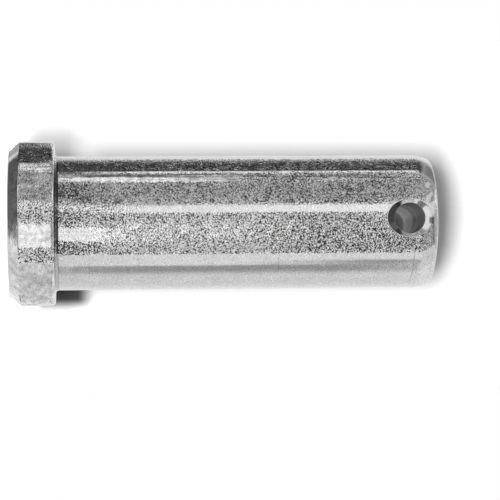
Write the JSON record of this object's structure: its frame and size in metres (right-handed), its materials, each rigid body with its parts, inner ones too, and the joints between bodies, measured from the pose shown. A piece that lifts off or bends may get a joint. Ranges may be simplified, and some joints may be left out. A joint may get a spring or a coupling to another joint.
{
  "type": "clevis pin",
  "caption": "Plain headed clevis pin with a flat bevelled head, a smooth shank, a soft blunt point and a countersunk cotter hole across the shank.",
  "frame": {"origin": "centre of the head's end face, which the pin stands on", "axes": "+Z along the shank from the head to the point; Y along the cotter hole"},
  "size_m": [0.0232, 0.0232, 0.0595],
  "materials": {
    "zinc_plate": "bright zinc plate over headed steel, lightly mottled, with fine nicks and handling scratches"
  },
  "bodies": {
    "root": {"clevis_pin": "zinc_plate"}
  },
  "joints": []
}
